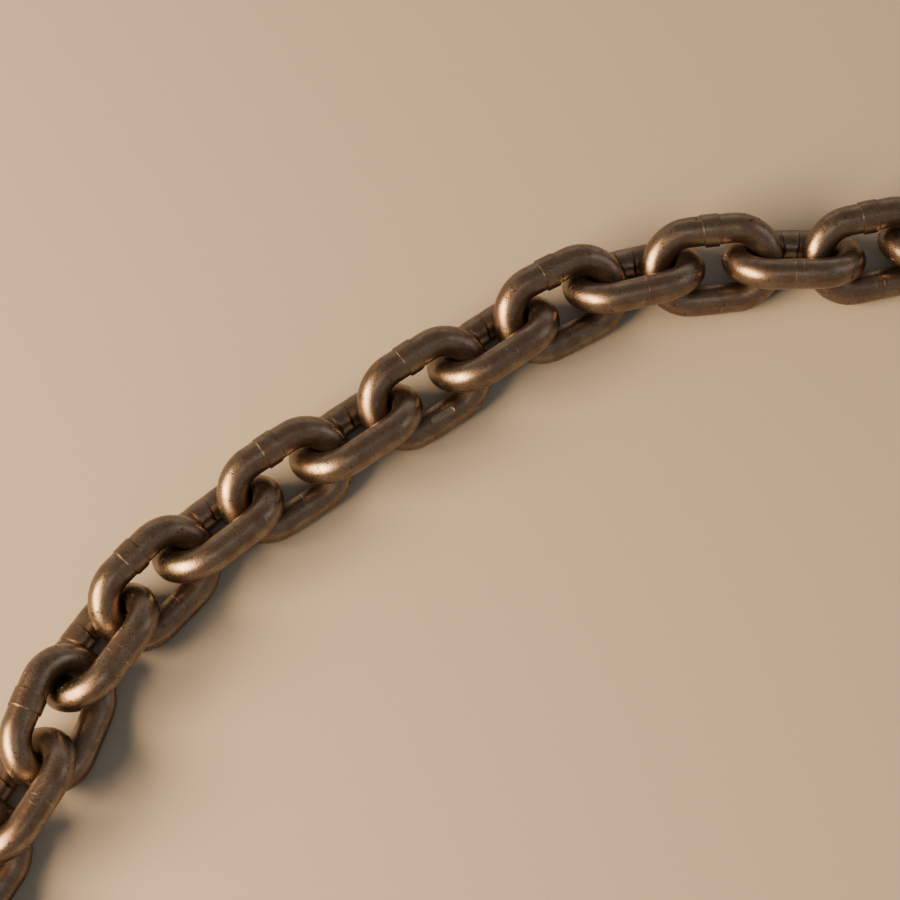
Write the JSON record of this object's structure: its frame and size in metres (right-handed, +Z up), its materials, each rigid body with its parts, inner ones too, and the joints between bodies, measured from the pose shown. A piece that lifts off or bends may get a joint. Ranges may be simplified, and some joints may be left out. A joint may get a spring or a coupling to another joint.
{
  "type": "hoist load chain",
  "caption": "Cut length of short-link round-steel hoist load chain, laid in a loose bend, with every link free to swing in the next and both end links open.",
  "frame": {"origin": "middle of the laid length's footprint, on the surface it lies on", "axes": "+X from the first link towards the last along the lay's longest extent, +Y to the far side, +Z up from the surface"},
  "size_m": [0.598, 0.3846, 0.0331],
  "materials": {
    "link_steel": "satin dark steel with a brown oxide and oil tint, brighter where the links rub"
  },
  "bodies": {
    "link_01": {"link_01": "link_steel"},
    "link_02": {"link_02": "link_steel"},
    "link_03": {"link_03": "link_steel"},
    "link_04": {"link_04": "link_steel"},
    "link_05": {"link_05": "link_steel"},
    "link_06": {"link_06": "link_steel"},
    "link_07": {"link_07": "link_steel"},
    "link_08": {"link_08": "link_steel"},
    "link_09": {"link_09": "link_steel"},
    "link_10": {"link_10": "link_steel"},
    "link_11": {"link_11": "link_steel"},
    "link_12": {"link_12": "link_steel"},
    "link_13": {"link_13": "link_steel"},
    "link_14": {"link_14": "link_steel"},
    "link_15": {"link_15": "link_steel"},
    "link_16": {"link_16": "link_steel"},
    "link_17": {"link_17": "link_steel"},
    "link_18": {"link_18": "link_steel"},
    "link_19": {"link_19": "link_steel"},
    "link_20": {"link_20": "link_steel"},
    "link_21": {"link_21": "link_steel"}
  },
  "joints": [
    {"name": "link_02_swing", "type": "hinge", "parent": "link_01", "child": "link_02", "pos_m": [-0.26323, -0.14017, 0.01673], "axis": [0.5622, -0.3116, -0.766], "range_deg": [-90, 90]},
    {"name": "link_03_swing", "type": "hinge", "parent": "link_02", "child": "link_03", "pos_m": [-0.24602, -0.10942, 0.01633], "axis": [-0.5567, 0.3214, -0.766], "range_deg": [-90, 90]},
    {"name": "link_04_swing", "type": "hinge", "parent": "link_03", "child": "link_04", "pos_m": [-0.22836, -0.07884, 0.01673], "axis": [-0.5567, 0.3214, 0.766], "range_deg": [-90, 90]},
    {"name": "link_05_swing", "type": "hinge", "parent": "link_04", "child": "link_05", "pos_m": [-0.21233, -0.04791, 0.01633], "axis": [0.6078, -0.2093, 0.766], "range_deg": [-90, 90]},
    {"name": "link_06_swing", "type": "hinge", "parent": "link_05", "child": "link_06", "pos_m": [-0.19957, -0.01694, 0.01673], "axis": [0.5329, -0.3594, -0.766], "range_deg": [-90, 90]},
    {"name": "link_07_swing", "type": "hinge", "parent": "link_06", "child": "link_07", "pos_m": [-0.17937, 0.011, 0.01633], "axis": [-0.4777, 0.4301, -0.766], "range_deg": [-90, 90]},
    {"name": "link_08_swing", "type": "hinge", "parent": "link_07", "child": "link_08", "pos_m": [-0.15547, 0.03586, 0.01673], "axis": [-0.4132, 0.4924, 0.766], "range_deg": [-90, 90]},
    {"name": "link_09_swing", "type": "hinge", "parent": "link_08", "child": "link_09", "pos_m": [-0.12834, 0.05787, 0.01633], "axis": [0.3778, -0.52, 0.766], "range_deg": [-90, 90]},
    {"name": "link_10_swing", "type": "hinge", "parent": "link_09", "child": "link_10", "pos_m": [-0.09977, 0.07863, 0.01673], "axis": [0.3778, -0.52, -0.766], "range_deg": [-90, 90]},
    {"name": "link_11_swing", "type": "hinge", "parent": "link_10", "child": "link_11", "pos_m": [-0.07118, 0.09922, 0.01633], "axis": [-0.3687, 0.5265, -0.766], "range_deg": [-90, 90]},
    {"name": "link_12_swing", "type": "hinge", "parent": "link_11", "child": "link_12", "pos_m": [-0.04227, 0.11965, 0.01673], "axis": [-0.3778, 0.52, 0.766], "range_deg": [-90, 90]},
    {"name": "link_13_swing", "type": "hinge", "parent": "link_12", "child": "link_13", "pos_m": [-0.01371, 0.13918, 0.01633], "axis": [0.3116, -0.5622, 0.766], "range_deg": [-90, 90]},
    {"name": "link_14_swing", "type": "hinge", "parent": "link_13", "child": "link_14", "pos_m": [0.0165, 0.15366, 0.01673], "axis": [0.1555, -0.6237, -0.766], "range_deg": [-90, 90]},
    {"name": "link_15_swing", "type": "hinge", "parent": "link_14", "child": "link_15", "pos_m": [0.0503, 0.16106, 0.01633], "axis": [-0.0783, 0.638, -0.766], "range_deg": [-90, 90]},
    {"name": "link_16_swing", "type": "hinge", "parent": "link_15", "child": "link_16", "pos_m": [0.08485, 0.16445, 0.01673], "axis": [-0.0112, 0.6427, 0.766], "range_deg": [-90, 90]},
    {"name": "link_17_swing", "type": "hinge", "parent": "link_16", "child": "link_17", "pos_m": [0.11949, 0.16676, 0.01633], "axis": [0.1446, -0.6263, 0.766], "range_deg": [-90, 90]},
    {"name": "link_18_swing", "type": "hinge", "parent": "link_17", "child": "link_18", "pos_m": [0.15252, 0.17235, 0.01673], "axis": [-0.0224, -0.6424, -0.766], "range_deg": [-90, 90]},
    {"name": "link_19_swing", "type": "hinge", "parent": "link_18", "child": "link_19", "pos_m": [0.18798, 0.17141, 0.01633], "axis": [0, 0.6428, -0.766], "range_deg": [-90, 90]},
    {"name": "link_20_swing", "type": "hinge", "parent": "link_19", "child": "link_20", "pos_m": [0.22346, 0.17171, 0.01673], "axis": [-0.0224, 0.6424, 0.766], "range_deg": [-90, 90]},
    {"name": "link_21_swing", "type": "hinge", "parent": "link_20", "child": "link_21", "pos_m": [0.25883, 0.1731, 0.01633], "axis": [0.0336, -0.6419, 0.766], "range_deg": [-90, 90]}
  ]
}
